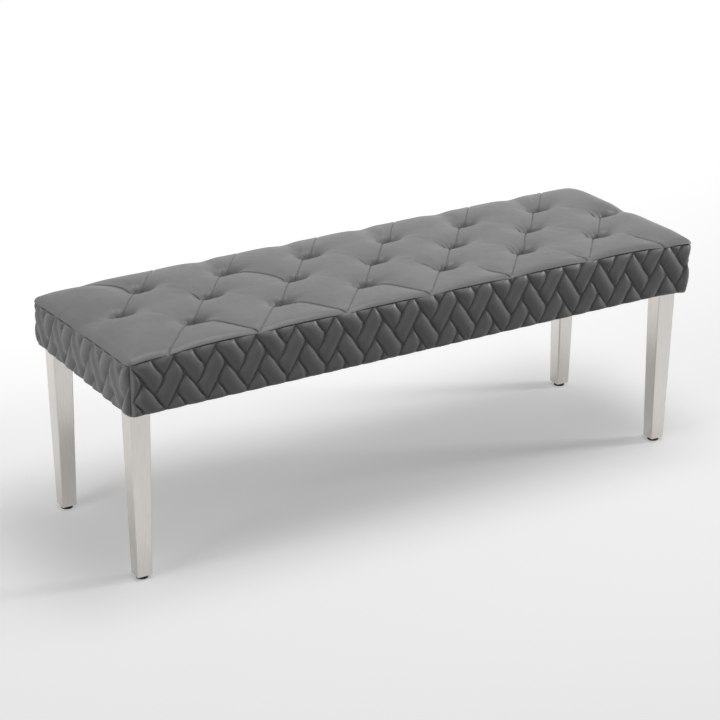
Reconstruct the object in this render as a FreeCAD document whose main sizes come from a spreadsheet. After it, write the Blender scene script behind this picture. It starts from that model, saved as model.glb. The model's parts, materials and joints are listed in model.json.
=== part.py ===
"""Dining bench: a tufted seat on four tapered square steel legs with screw-in levelling feet.

Millimetres. X runs along the bench, Y from front to back, Z up. The origin is on the floor under the
middle of the seat.
"""
import FreeCAD, Part
import math
import os

import Sketcher

Vector = FreeCAD.Vector
doc = FreeCAD.newDocument("dining_bench")

# Driving dimensions: alias, value in millimetres (or degrees and counts where the name says so)
SIZES = [
    # Seat box
    ("seat_length", 1300), ("seat_depth", 430), ("seat_base", 356),
    # Timber frame and deck
    ("rail_thickness", 22), ("rail_height", 58), ("brace_tuft_steps", 1.25),
    ("block_spare", 50), ("block_height", 45), ("deck_thickness", 12),
    # Foam, tufted top and its sewn rim
    ("foam_thickness", 30), ("rim_overhang", 5), ("rim_draw", 4), ("rim_corner", 12),
    ("rim_height", 10), ("rim_inset", 2), ("shoulder_height", 20), ("shoulder_inset", 8),
    ("crown_height", 25), ("crown_inset", 20),
    ("pillow_rise", 5.5), ("pillow_edge_rise", 3.5), ("pillow_inset", 22), ("pillow_edge_inset", 8),
    ("pleat_width", 2),
    # Tufts: middle row count, spare length at each end, distance of the outer rows from the long edges
    ("tuft_count", 7), ("tuft_end_margin", 86), ("tuft_row_margin", 115),
    ("tuft_depth", 20), ("tuft_mouth", 72), ("tuft_throat", 26), ("tuft_floor", 10),
    ("tuft_throat_height", 12), ("tuft_clear", 1),
    ("tie_diameter", 3), ("tie_hole", 8), ("tie_tail", 5),
    ("tie_washer_diameter", 22), ("tie_washer_thickness", 2.5),
    # Quilted bands: herringbone blocks two steps long and one step wide
    ("band_backing", 5), ("quilt_puff", 5), ("band_margin", 2), ("corner_gap", 0.4),
    ("quilt_step_x", 21.8), ("quilt_step_z", 34.3), ("quilt_groove", 2.4), ("quilt_draft", 4),
    ("long_quilt_slope_deg", 2.3), ("long_quilt_start_x", -251), ("long_quilt_start_z", 48),
    ("end_quilt_slope_deg", 1), ("end_quilt_start_x", -172), ("end_quilt_start_z", -7),
    # Legs and the plates welded on them
    ("leg_top_width", 42), ("leg_foot_width", 32), ("leg_wall", 1.5), ("leg_corner", 3),
    ("leg_end_inset", 7.5), ("leg_side_inset", 18.5), ("foot_gap", 8),
    ("plate_size", 80), ("plate_thickness", 4), ("weld_ledge", 2.5),
    # Leg bolts, their washers and the insert nuts in the corner blocks
    ("bolt_diameter", 6), ("bolt_edge", 15), ("bolt_spacing", 34), ("bolt_reach", 12),
    ("bolt_head_diameter", 10.5), ("bolt_head_height", 3.3), ("bolt_hole_play", 0.3),
    ("washer_diameter", 14), ("washer_thickness", 1.2),
    ("insert_diameter", 10), ("insert_length", 13), ("thread_play", 0.06),
    # Levelling feet
    ("plug_height", 18), ("plug_play", 0.1), ("stud_diameter", 8), ("stud_length", 30),
    ("collar_flats", 13), ("foot_play", 0.1), ("tip_diameter", 6.4), ("socket_play", 0.1),
    ("pad_diameter", 24), ("pad_height", 4.6), ("pad_chamfer", 1.4), ("pad_floor", 1.5),
    # Dust cover, wood screws
    ("dust_cover_thickness", 1), ("dust_cover_gap", 1),
    ("screw_diameter", 4), ("screw_head_diameter", 8.4), ("screw_head_height", 2.6),
    ("frame_screw_length", 60), ("frame_screw_edge", 14), ("deck_screw_length", 35),
]

sheet = doc.addObject("Spreadsheet::Sheet", "sizes")
for row, (alias, number) in enumerate(SIZES, start=1):
    sheet.set(f"A{row}", alias)
    sheet.set(f"B{row}", str(number))
    sheet.setAlias(f"B{row}", alias)
doc.recompute()


def size(expression):
    """Value of an expression on the sheet, in millimetres."""
    return float(sheet.evalExpression(expression))


# Places that several pieces share, as expressions on the sheet
RAIL_X = "(sizes.seat_length / 2 - sizes.band_backing - sizes.quilt_puff)"
RAIL_Y = "(sizes.seat_depth / 2 - sizes.band_backing - sizes.quilt_puff)"
INNER_X = f"({RAIL_X} - sizes.rail_thickness)"
INNER_Y = f"({RAIL_Y} - sizes.rail_thickness)"
RAIL_Z = "(sizes.seat_base + sizes.plate_thickness)"
DECK_Z = f"({RAIL_Z} + sizes.rail_height)"
FOAM_Z = f"({DECK_Z} + sizes.deck_thickness)"
SEAM_Z = f"({FOAM_Z} + sizes.foam_thickness)"
CROWN_Z = f"({SEAM_Z} + sizes.crown_height)"
CREST_Z = f"({CROWN_Z} + sizes.pillow_rise)"
LEG_X = "(sizes.seat_length / 2 - sizes.leg_end_inset - sizes.leg_top_width / 2)"
LEG_Y = "(sizes.seat_depth / 2 - sizes.leg_side_inset - sizes.leg_top_width / 2)"
LEG_HEIGHT = "(sizes.seat_base - sizes.foot_gap)"
PLATE_X = f"({LEG_X} + sizes.leg_top_width / 2 - sizes.weld_ledge)"
PLATE_Y = f"({LEG_Y} + sizes.leg_top_width / 2 - sizes.weld_ledge)"
TUFT_X = "((sizes.seat_length / 2 - sizes.tuft_end_margin) * 2 / (sizes.tuft_count - 1))"
TUFT_Y = "(sizes.seat_depth / 2 - sizes.tuft_row_margin)"
# The braces stand midway between two columns of tufts, clear of their washers
BRACE_X = f"(sizes.brace_tuft_steps * {TUFT_X})"
BLOCK_LEG = "(sizes.plate_size + sizes.block_spare)"

# Turn that keeps the start of a turned hollow off the pleat lines
HOLLOW_SEAM_DEG = 20

CORNERS = [("front_left", -1, -1), ("front_right", 1, -1), ("back_left", -1, 1), ("back_right", 1, 1)]
parts = []


def keep(item, label):
    """Names a finished sub-part after its file."""
    item.Label = label
    parts.append(item)
    return item


def bind(item, **expressions):
    """Binds properties to expressions; a double underscore in a name stands for a dot."""
    for name, expression in expressions.items():
        item.setExpression(name.replace("__", "."), str(expression))
    return item


def place(item, x="0", y="0", z="0"):
    return bind(item, Placement__Base__x=x, Placement__Base__y=y, Placement__Base__z=z)


def box(name, low, length, width, height):
    """Box from its lowest corner, all as expressions."""
    item = doc.addObject("Part::Box", name)
    return place(bind(item, Length=length, Width=width, Height=height), *low)


def new_body(name):
    return doc.addObject("PartDesign::Body", name)


def new_sketch(body, name, role="XY_Plane", lift="0"):
    """Sketch on one of the body's own planes, lifted along that plane's normal."""
    sketch = body.newObject("Sketcher::SketchObject", name)
    plane = next(item for item in body.Origin.OriginFeatures if item.Role == role)
    sketch.AttachmentSupport = [(plane, "")]
    sketch.MapMode = "FlatFace"
    sketch.setExpression("AttachmentOffset.Base.z", lift)
    return sketch


def fix_point(sketch, geometry, point, x, y):
    """Holds a sketch point at expressions in X and Y."""
    for kind, expression in (("DistanceX", x), ("DistanceY", y)):
        rule = sketch.addConstraint(
            Sketcher.Constraint(kind, -1, 1, geometry, point, size(expression)))
        sketch.setExpression(f"Constraints[{rule}]", expression)


def draw_polygon(sketch, corners):
    """Closed outline through corners given as pairs of expressions."""
    spots = [Vector(size(x), size(y), 0) for x, y in corners]
    count = len(spots)
    lines = [sketch.addGeometry(Part.LineSegment(spots[k], spots[(k + 1) % count])) for k in range(count)]
    for k in range(count):
        sketch.addConstraint(Sketcher.Constraint("Coincident", lines[k], 2, lines[(k + 1) % count], 1))
    for line, (x, y) in zip(lines, corners):
        fix_point(sketch, line, 1, x, y)


def draw_square(sketch, width):
    half = f"({width}) / 2"
    draw_polygon(sketch, [(f"-{half}", f"-{half}"), (half, f"-{half}"), (half, half), (f"-{half}", half)])


def draw_round_square(sketch, width, corner):
    """Square with arcs at its corners: each corner is the arc between the ends of two sides."""
    half, short = f"({width}) / 2", f"(({width}) / 2 - {corner})"
    turns = [(1, 1), (-1, 1), (-1, -1), (1, -1)]
    ends = []
    for sx, sy in turns:
        on_x, on_y = (f"{sx} * {half}", f"{sy} * {short}"), (f"{sx} * {short}", f"{sy} * {half}")
        ends += [on_x, on_y] if sx * sy > 0 else [on_y, on_x]
    spots = [Vector(size(x), size(y), 0) for x, y in ends]
    radius = size(corner)
    for k, (sx, sy) in enumerate(turns):
        centre = Vector(sx * size(short), sy * size(short), 0)
        middle = centre + Vector(sx, sy, 0) * (radius * math.sqrt(0.5))
        start, end, following = 2 * k, 2 * k + 1, (2 * k + 2) % len(ends)
        arc = sketch.addGeometry(Part.Arc(spots[start], middle, spots[end]))
        side = sketch.addGeometry(Part.LineSegment(spots[end], spots[following]))
        fix_point(sketch, side, 1, *ends[end])
        fix_point(sketch, side, 2, *ends[following])
        rule = sketch.addConstraint(Sketcher.Constraint("Radius", arc, radius))
        sketch.setExpression(f"Constraints[{rule}]", corner)
    for k in range(len(turns)):
        arc, side, before = 2 * k, 2 * k + 1, (2 * k - 1) % len(ends)
        sketch.addConstraint(Sketcher.Constraint("Coincident", arc, 1, before, 2))
        sketch.addConstraint(Sketcher.Constraint("Coincident", arc, 2, side, 1))


def draw_circle(sketch, x, y, diameter):
    circle = sketch.addGeometry(
        Part.Circle(Vector(size(x), size(y), 0), Vector(0, 0, 1), size(diameter) / 2))
    fix_point(sketch, circle, 3, x, y)
    rule = sketch.addConstraint(Sketcher.Constraint("Diameter", circle, size(diameter)))
    sketch.setExpression(f"Constraints[{rule}]", diameter)


def add_pad(body, sketch, length):
    pad = body.newObject("PartDesign::Pad", f"{body.Name}_pad")
    pad.Profile = sketch
    return bind(pad, Length=length)


def add_holes(body, spots, diameter, top, depth):
    """Round holes bored downwards from the height top."""
    sketch = new_sketch(body, f"{body.Name}_holes", lift=top)
    for x, y in spots:
        draw_circle(sketch, x, y, diameter)
    pocket = body.newObject("PartDesign::Pocket", f"{body.Name}_bores")
    pocket.Profile = sketch
    return bind(pocket, Length=depth)


def add_loft(body, kind, name, low_width, high_width, low, high, corner=None):
    """Square taper between two heights, added to the body or cut from it, round at its corners if told."""
    sketches = []
    for step, width, lift in (("low", low_width, low), ("high", high_width, high)):
        sketch = new_sketch(body, f"{name}_{step}", lift=lift)
        if corner:
            draw_round_square(sketch, width, corner)
        else:
            draw_square(sketch, width)
        sketches.append(sketch)
    loft = body.newObject(f"PartDesign::{kind}Loft", name)
    loft.Profile = sketches[0]
    loft.Sections = [sketches[1]]
    loft.Ruled = True
    return loft


def made_of(label, shape):
    """Sub-part whose shape is worked out in code from the sheet."""
    item = doc.addObject("Part::Feature", label)
    item.Shape = shape
    return keep(item, label)


def copies(shape, spots):
    """Group of separate equal solids, one at each spot."""
    return Part.makeCompound([shape.translated(Vector(*spot)) for spot in spots])


def tube(outer, inner, height):
    return Part.makeCylinder(outer / 2, height).cut(Part.makeCylinder(inner / 2, height))


def tuft_spots():
    """Tuft centres as pairs of expressions: an outer row, the middle row, an outer row."""
    count = int(size("sizes.tuft_count"))
    spots = []
    for side, in_row in ((-1, count - 1), (0, count), (1, count - 1)):
        for k in range(in_row):
            spots.append((f"{TUFT_X} * {k - (in_row - 1) / 2}", f"{TUFT_Y} * {side}"))
    return spots


def bolt_spots(sx, sy):
    """The three bolts of one leg plate, round the inside of its leg."""
    x = f"({PLATE_X} - sizes.plate_size + sizes.bolt_edge)"
    y = f"({PLATE_Y} - sizes.plate_size + sizes.bolt_edge)"
    steps = ((x, y), (f"({x} + sizes.bolt_spacing)", y), (x, f"({y} + sizes.bolt_spacing)"))
    return [(f"{sx} * {bx}", f"{sy} * {by}") for bx, by in steps]


# Timber frame
def make_frame():
    height = "sizes.rail_height"
    thickness = "sizes.rail_thickness"
    for name, y in (("front_rail", f"-{RAIL_Y}"), ("back_rail", INNER_Y)):
        keep(box(name, (f"-{RAIL_X}", y, RAIL_Z), f"2 * {RAIL_X}", thickness, height), name)
    cross = f"2 * {INNER_Y}"
    middle = f"{thickness} / 2"
    for name, x in (("left_rail", f"-{RAIL_X}"), ("right_rail", INNER_X),
                    ("left_brace", f"-{BRACE_X} - {middle}"),
                    ("right_brace", f"{BRACE_X} - {middle}")):
        keep(box(name, (x, f"-{INNER_Y}", RAIL_Z), thickness, cross, height), name)


def make_corner_block(name, sx, sy):
    """Three-sided glue block in a corner of the frame, bored for the insert nuts."""
    body = new_body(f"corner_block_{name}")
    outline = new_sketch(body, f"{body.Name}_outline", lift=RAIL_Z)
    near_x, near_y = f"{sx} * {INNER_X}", f"{sy} * {INNER_Y}"
    draw_polygon(outline, [(near_x, near_y),
                           (f"{sx} * ({INNER_X} - {BLOCK_LEG})", near_y),
                           (near_x, f"{sy} * ({INNER_Y} - {BLOCK_LEG})")])
    add_pad(body, outline, "sizes.block_height")
    add_holes(body, bolt_spots(sx, sy), "sizes.insert_diameter + 2 * sizes.thread_play",
              f"{RAIL_Z} + sizes.insert_length", "sizes.insert_length")
    keep(body, body.Name)


def make_deck():
    """Plywood deck with a hole under every tuft."""
    body = new_body("deck_panel")
    outline = new_sketch(body, "deck_outline", lift=DECK_Z)
    draw_polygon(outline, [(f"{sx} * {RAIL_X}", f"{sy} * {RAIL_Y}")
                           for sx, sy in ((-1, -1), (1, -1), (1, 1), (-1, 1))])
    add_pad(body, outline, "sizes.deck_thickness")
    add_holes(body, tuft_spots(), "sizes.tie_hole", FOAM_Z, "sizes.deck_thickness")
    keep(body, "deck_panel")


def make_foam():
    """Foam slab on the deck, with a hole for every tie."""
    body = new_body("seat_foam")
    outline = new_sketch(body, "foam_outline", lift=FOAM_Z)
    draw_polygon(outline, [(f"{sx} * ({RAIL_X} - sizes.corner_gap)", f"{sy} * ({RAIL_Y} - sizes.corner_gap)")
                           for sx, sy in ((-1, -1), (1, -1), (1, 1), (-1, 1))])
    add_pad(body, outline, "sizes.foam_thickness")
    add_holes(body, tuft_spots(), "sizes.tie_hole", SEAM_Z, "sizes.foam_thickness")
    keep(body, "seat_foam")


def make_dust_cover():
    """Cloth under the frame, notched round the leg plates."""
    body = new_body("dust_cover")
    outline = new_sketch(body, "dust_cover_outline", lift=f"{RAIL_Z} - sizes.dust_cover_thickness")
    notch_x = f"({PLATE_X} - sizes.plate_size - sizes.dust_cover_gap)"
    notch_y = f"({PLATE_Y} - sizes.plate_size - sizes.dust_cover_gap)"
    corners = []
    for sx, sy in ((-1, -1), (1, -1), (1, 1), (-1, 1)):
        steps = [(RAIL_X, notch_y), (notch_x, notch_y), (notch_x, RAIL_Y)]
        if sx * sy < 0:
            steps.reverse()
        corners += [(f"{sx} * {x}", f"{sy} * {y}") for x, y in steps]
    draw_polygon(outline, corners)
    add_pad(body, outline, "sizes.dust_cover_thickness")
    keep(body, "dust_cover")


# Outlines of the soft pieces, as lists of points in a plane
def clip(points, normal, limit):
    """Part of a convex outline on the side where the point's share along normal is under limit."""
    kept = []
    for k, here in enumerate(points):
        last = points[k - 1]
        over_here = here[0] * normal[0] + here[1] * normal[1] - limit
        over_last = last[0] * normal[0] + last[1] * normal[1] - limit
        if over_here * over_last < 0:
            share = over_last / (over_last - over_here)
            kept.append((last[0] + share * (here[0] - last[0]), last[1] + share * (here[1] - last[1])))
        if over_here <= 0:
            kept.append(here)
    return kept


def clip_to_box(points, low, high):
    for axis in (0, 1):
        normal = (1 - axis, axis)
        points = clip(points, normal, high[axis])
        points = clip(points, (-normal[0], -normal[1]), -low[axis])
    return points


def without_short_sides(points, shortest):
    """Outline with every corner dropped that lies too near the corner before it."""
    return [here for k, here in enumerate(points) if math.dist(here, points[k - 1]) > shortest]


def turn_at(points, k):
    """Cotangent of half the inner angle at a corner of an outline that runs anticlockwise."""
    here = Vector(*points[k], 0)
    before = (Vector(*points[k - 1], 0) - here).normalize()
    after = (Vector(*points[(k + 1) % len(points)], 0) - here).normalize()
    return 1 / math.tan(before.getAngle(after) / 2)


def inset_limit(points):
    """Inset at which the first side of an outline would vanish."""
    limits = []
    for k, here in enumerate(points):
        after = (k + 1) % len(points)
        length = math.dist(here, points[after])
        limits.append(length / (turn_at(points, k) + turn_at(points, after)))
    return min(limits)


def inset(points, distance):
    """Outline moved inwards by a distance, with as many corners as before."""
    moved = []
    for k, here in enumerate(points):
        after = points[(k + 1) % len(points)]
        length = math.dist(here, after)
        along = ((after[0] - here[0]) / length, (after[1] - here[1]) / length)
        slide = distance * turn_at(points, k)
        moved.append((here[0] + along[0] * slide - along[1] * distance,
                      here[1] + along[1] * slide + along[0] * distance))
    return moved


def tiered_block(points, tiers, to_space):
    """Solid whose outline draws in tier by tier: each tier is an inset and a height."""
    wires = []
    for step, height in tiers:
        spots = [to_space(x, y, height) for x, y in inset(points, step)]
        wires.append(Part.makePolygon(spots + spots[:1]))
    return Part.makeLoft(wires, True, True)


def limited(steps, most):
    """Insets kept in order and short of the one at which a side vanishes."""
    return [min(step, most * (k + 1) / (len(steps) + 1)) for k, step in enumerate(steps)]


# Tufted top
def rim_wire(half_x, half_y, corner, draw, z):
    """Seat outline with round corners and sides that draw in towards their middles."""
    bend = corner * (1 - math.sqrt(0.5))
    edges = []
    for sx, sy in ((1, 1), (-1, 1), (-1, -1), (1, -1)):
        on_x = Vector(sx * half_x, sy * (half_y - corner), z)
        on_y = Vector(sx * (half_x - corner), sy * half_y, z)
        between = Vector(sx * (half_x - bend), sy * (half_y - bend), z)
        if sx * sy > 0:
            side = Part.Arc(on_y, Vector(0, sy * (half_y - draw), z), Vector(-on_y.x, on_y.y, z))
            edges += [Part.Arc(on_x, between, on_y), side]
        else:
            side = Part.Arc(on_x, Vector(sx * (half_x - draw), 0, z), Vector(on_x.x, -on_x.y, z))
            edges += [Part.Arc(on_y, between, on_x), side]
    return Part.Wire([edge.toShape() for edge in edges])


def pillow_outlines(half_x, half_y):
    """Diamonds between the tufts, half diamonds along the long edges, and the corner pillows."""
    count = int(size("sizes.tuft_count"))
    step_x, step_y = size(TUFT_X), size(TUFT_Y)
    middle = [step_x * (k - (count - 1) / 2) for k in range(count)]
    between = [step_x * (k - (count - 2) / 2) for k in range(count - 1)]
    outlines = [[(x - step_x / 2, 0), (x, -step_y), (x + step_x / 2, 0), (x, step_y)] for x in between]
    for side in (-1, 1):
        for x in middle[1:-1]:
            outlines.append([(x, 0), (x + step_x / 2, side * step_y), (x, side * half_y),
                             (x - step_x / 2, side * step_y)])
        for x in between:
            outlines.append([(x, side * step_y), (x + step_x / 2, side * half_y),
                             (x - step_x / 2, side * half_y)])
        for end in (-1, 1):
            tuft, outer = end * middle[-1], end * half_x
            outlines.append([(tuft, 0), (outer, 0), (outer, side * half_y), (tuft, side * half_y),
                             (end * between[-1], side * step_y)])
    return [anticlockwise(points) for points in outlines]


def anticlockwise(points):
    area = sum(a[0] * b[1] - b[0] * a[1] for a, b in zip(points, points[1:] + points[:1]))
    return points if area > 0 else points[::-1]


def tuft_cutter():
    """Trumpet-shaped hollow of one tuft, open at the crest."""
    floor = size(f"{CREST_Z} - sizes.tuft_depth")
    crest = size(CREST_Z)
    foot, throat, mouth = (size(f"sizes.tuft_{name} / 2") for name in ("floor", "throat", "mouth"))
    waist = Vector(throat, 0, floor + size("sizes.tuft_throat_height"))
    edge, rim = Vector(foot, 0, floor), Vector(mouth, 0, crest)
    lid = crest + size("sizes.tuft_clear")
    above, below = Vector(0, 0, lid), Vector(0, 0, floor)
    outline = [Part.LineSegment(below, edge), Part.Arc(edge, waist, rim),
               Part.LineSegment(rim, Vector(mouth, 0, lid)),
               Part.LineSegment(Vector(mouth, 0, lid), above), Part.LineSegment(above, below)]
    face = Part.Face(Part.Wire([line.toShape() for line in outline]))
    axis = Vector(0, 0, 1)
    return face.revolve(Vector(), axis, 360).rotated(Vector(), axis, HOLLOW_SEAM_DEG)


def make_tufted_top():
    """Leather top: a drawn-in rim and crown, diamond pillows and tuft hollows."""
    seam, crown = size(SEAM_Z), size(CROWN_Z)
    half_x = size("sizes.seat_length / 2 + sizes.rim_overhang")
    half_y = size("sizes.seat_depth / 2 + sizes.rim_overhang")
    corner, draw = size("sizes.rim_corner"), size("sizes.rim_draw")
    tiers = [("0", "0")] + [(f"sizes.{name}_inset", f"sizes.{name}_height")
                            for name in ("rim", "shoulder", "crown")]
    wires = [rim_wire(half_x - size(step), half_y - size(step), corner, draw, seam + size(height))
             for step, height in tiers]
    top = Part.makeLoft(wires, True, True)
    margin = size("sizes.crown_inset + sizes.rim_draw + sizes.pleat_width")
    groove = size("sizes.pleat_width / 2")
    pillows = []
    for points in pillow_outlines(half_x - margin, half_y - margin):
        steps = limited([groove, groove + size("sizes.pillow_edge_inset"),
                         groove + size("sizes.pillow_inset")], inset_limit(points))
        heights = [crown, crown + size("sizes.pillow_edge_rise"), crown + size("sizes.pillow_rise")]
        pillows.append(tiered_block(points, zip(steps, heights), Vector))
    hollows = copies(tuft_cutter(), [(size(x), size(y), 0) for x, y in tuft_spots()])
    made_of("tufted_top", top.multiFuse(pillows).cut(hollows).removeSplitter())


# Quilted bands
def herringbone(half_length, height, start, slope_deg):
    """Outlines of the quilted blocks that fall on a band, in its own plane."""
    step_x, step_z = size("sizes.quilt_step_x"), size("sizes.quilt_step_z")
    turn = FreeCAD.Rotation(Vector(0, 0, 1), slope_deg)
    up, down = turn.multVec(Vector(step_x, step_z, 0)), turn.multVec(Vector(step_x, -step_z, 0))
    margin = size("sizes.band_margin")
    least, shortest = size("sizes.quilt_groove"), size("sizes.quilt_draft")
    reach = math.ceil((half_length + abs(start[0])) / step_x) + math.ceil(height / step_z)
    blocks = []
    for i in range(-reach, reach):
        for j in range(-reach, reach):
            if (i + j) % 4 not in (0, 2):
                continue
            long_up, long_down = (2, 1) if (i + j) % 4 == 0 else (1, 2)
            corners = [(i, j), (i, j + long_down), (i + long_up, j + long_down), (i + long_up, j)]
            points = [(start[0] + a * up[0] + b * down[0], start[1] + a * up[1] + b * down[1])
                      for a, b in corners]
            points = clip_to_box(points, (margin - half_length, margin),
                                 (half_length - margin, height - margin))
            points = without_short_sides(points, shortest)
            if len(points) > 2 and inset_limit(anticlockwise(points)) > least:
                blocks.append(anticlockwise(points))
    return blocks


def make_band(name, turn_deg, half_length, outward, pattern):
    """Backing strip with puffed herringbone blocks, made as a front band and then turned to its side."""
    height = size(f"{SEAM_Z} - sizes.seat_base")
    backing, puff = size("sizes.band_backing"), size("sizes.quilt_puff")
    groove, draft = size("sizes.quilt_groove / 2"), size("sizes.quilt_draft")
    strip = Part.makeBox(2 * half_length, backing, height, Vector(-half_length, -backing, 0))
    start = (size(f"sizes.{pattern}_quilt_start_x"), size(f"sizes.{pattern}_quilt_start_z"))
    slope_deg = size(f"sizes.{pattern}_quilt_slope_deg")
    blocks = []
    for points in herringbone(half_length, height, start, slope_deg):
        steps = limited([groove, groove + draft], inset_limit(points))
        tiers = zip(steps, [backing, backing + puff])
        blocks.append(tiered_block(points, tiers, lambda x, z, depth: Vector(x, -depth, z)))
    band = made_of(name, strip.multiFuse(blocks))
    turn = FreeCAD.Rotation(Vector(0, 0, 1), turn_deg)
    offset = turn.multVec(Vector(0, -outward, 0))
    band.Placement = FreeCAD.Placement(Vector(offset.x, offset.y, size("sizes.seat_base")), turn)


def make_bands():
    long_half = size("sizes.seat_length / 2")
    end_half = size(f"{RAIL_Y} - sizes.corner_gap")
    make_band("front_band", 0, long_half, size(RAIL_Y), "long")
    make_band("back_band", 180, long_half, size(RAIL_Y), "long")
    make_band("left_band", -90, end_half, size(RAIL_X), "end")
    make_band("right_band", 90, end_half, size(RAIL_X), "end")


# Tufting ties under the top
def make_ties():
    washer = size("sizes.tie_washer_thickness")
    bottom = size(f"{DECK_Z} - sizes.tie_washer_thickness - sizes.tie_tail")
    spots = [(size(x), size(y)) for x, y in tuft_spots()]
    tie = size("sizes.tie_diameter")
    made_of("tuft_ties", copies(Part.makeCylinder(tie / 2, size(SEAM_Z) - bottom),
                                [(x, y, bottom) for x, y in spots]))
    ring = tube(size("sizes.tie_washer_diameter"), tie + 2 * size("sizes.thread_play"), washer)
    made_of("tuft_washers", copies(ring, [(x, y, size(DECK_Z) - washer) for x, y in spots]))


# Wood screws
def wood_screw(length):
    """Countersunk screw along +Z with its head face at the origin."""
    radius = size("sizes.screw_diameter / 2")
    head = Part.makeCone(size("sizes.screw_head_diameter / 2"), radius, size("sizes.screw_head_height"))
    return head.fuse(Part.makeCylinder(radius, length)).removeSplitter()


def make_screws():
    """Screws through the long rails into the cross pieces, and through the deck into the frame."""
    along = wood_screw(size("sizes.frame_screw_length"))
    end_x = size(f"{RAIL_X} - sizes.rail_thickness / 2")
    brace_x = size(BRACE_X)
    edge = size("sizes.frame_screw_edge")
    heights = [size(RAIL_Z) + edge, size(DECK_Z) - edge]
    frame_screws = []
    for side in (-1, 1):
        turned = along.rotated(Vector(0, 0, 0), Vector(1, 0, 0), 90 * side)
        for x in (-end_x, -brace_x, brace_x, end_x):
            frame_screws += [turned.translated(Vector(x, side * size(RAIL_Y), z)) for z in heights]
    made_of("frame_screws", Part.makeCompound(frame_screws))

    down = wood_screw(size("sizes.deck_screw_length")).rotated(Vector(0, 0, 0), Vector(1, 0, 0), 180)
    rail_y = size(f"{RAIL_Y} - sizes.rail_thickness / 2")
    between = (brace_x + end_x) / 2
    spots = [(x, side * rail_y, size(FOAM_Z)) for x in (-between, 0, between) for side in (-1, 1)]
    spots += [(x, 0, size(FOAM_Z)) for x in (-end_x, -brace_x, brace_x, end_x)]
    made_of("deck_screws", copies(down, spots))


# Legs
def inside(width):
    return f"({width} - 2 * sizes.leg_wall)"


def width_at(height):
    """Outer width of a leg at a height above its foot."""
    grow = f"(sizes.leg_top_width - sizes.leg_foot_width) / {LEG_HEIGHT}"
    return f"(sizes.leg_foot_width + {grow} * ({height}))"


def make_leg(name, sx, sy):
    """Hollow tapered square tube."""
    body = new_body(f"leg_{name}")
    add_loft(body, "Additive", f"{body.Name}_taper", "sizes.leg_foot_width", "sizes.leg_top_width",
             "sizes.foot_gap", "sizes.seat_base", corner="sizes.leg_corner")
    add_loft(body, "Subtractive", f"{body.Name}_bore", inside("sizes.leg_foot_width"),
             inside("sizes.leg_top_width"), "sizes.foot_gap", "sizes.seat_base")
    keep(place(body, f"{sx} * {LEG_X}", f"{sy} * {LEG_Y}"), body.Name)


def make_leg_plate(name, sx, sy):
    """Plate welded on the leg's top, reaching inwards to its three bolts."""
    body = new_body(f"leg_plate_{name}")
    outline = new_sketch(body, f"{body.Name}_outline", lift="sizes.seat_base")
    far_x, far_y = f"{sx} * {PLATE_X}", f"{sy} * {PLATE_Y}"
    near_x, near_y = f"{sx} * ({PLATE_X} - sizes.plate_size)", f"{sy} * ({PLATE_Y} - sizes.plate_size)"
    draw_polygon(outline, [(near_x, near_y), (far_x, near_y), (far_x, far_y), (near_x, far_y)])
    add_pad(body, outline, "sizes.plate_thickness")
    add_holes(body, bolt_spots(sx, sy), "sizes.bolt_diameter + 2 * sizes.bolt_hole_play", RAIL_Z,
              "sizes.plate_thickness")
    keep(body, body.Name)


def make_leg_fasteners():
    """Bolts, washers and insert nuts of all four legs."""
    spots = [(size(x), size(y)) for _, sx, sy in CORNERS for x, y in bolt_spots(sx, sy)]
    base, rail = size("sizes.seat_base"), size(RAIL_Z)
    bolt, washer = size("sizes.bolt_diameter"), size("sizes.washer_thickness")
    head = size("sizes.bolt_head_height")
    under = base - washer
    shank = Part.makeCylinder(bolt / 2, rail - under + size("sizes.bolt_reach"))
    cap = Part.makeCylinder(size("sizes.bolt_head_diameter / 2"), head, Vector(0, 0, -head))
    made_of("leg_bolts", copies(shank.fuse(cap).removeSplitter(), [(x, y, under) for x, y in spots]))
    loose = bolt + 2 * size("sizes.bolt_hole_play")
    ring = tube(size("sizes.washer_diameter"), loose, washer)
    made_of("leg_washers", copies(ring, [(x, y, under) for x, y in spots]))
    tapped = bolt + 2 * size("sizes.thread_play")
    nut = tube(size("sizes.insert_diameter"), tapped, size("sizes.insert_length"))
    made_of("insert_nuts", copies(nut, [(x, y, rail) for x, y in spots]))


# Levelling feet
def make_leg_plug(name, sx, sy):
    """Threaded plug in the end of the tube."""
    body = new_body(f"leg_plug_{name}")
    play = "2 * sizes.plug_play"
    add_loft(body, "Additive", f"{body.Name}_taper", f"{inside('sizes.leg_foot_width')} - {play}",
             f"{inside(width_at('sizes.plug_height'))} - {play}",
             "sizes.foot_gap", "sizes.foot_gap + sizes.plug_height")
    add_holes(body, [("0", "0")], "sizes.stud_diameter + 2 * sizes.thread_play",
              "sizes.foot_gap + sizes.plug_height", "sizes.plug_height")
    keep(place(body, f"{sx} * {LEG_X}", f"{sy} * {LEG_Y}"), body.Name)


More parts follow.
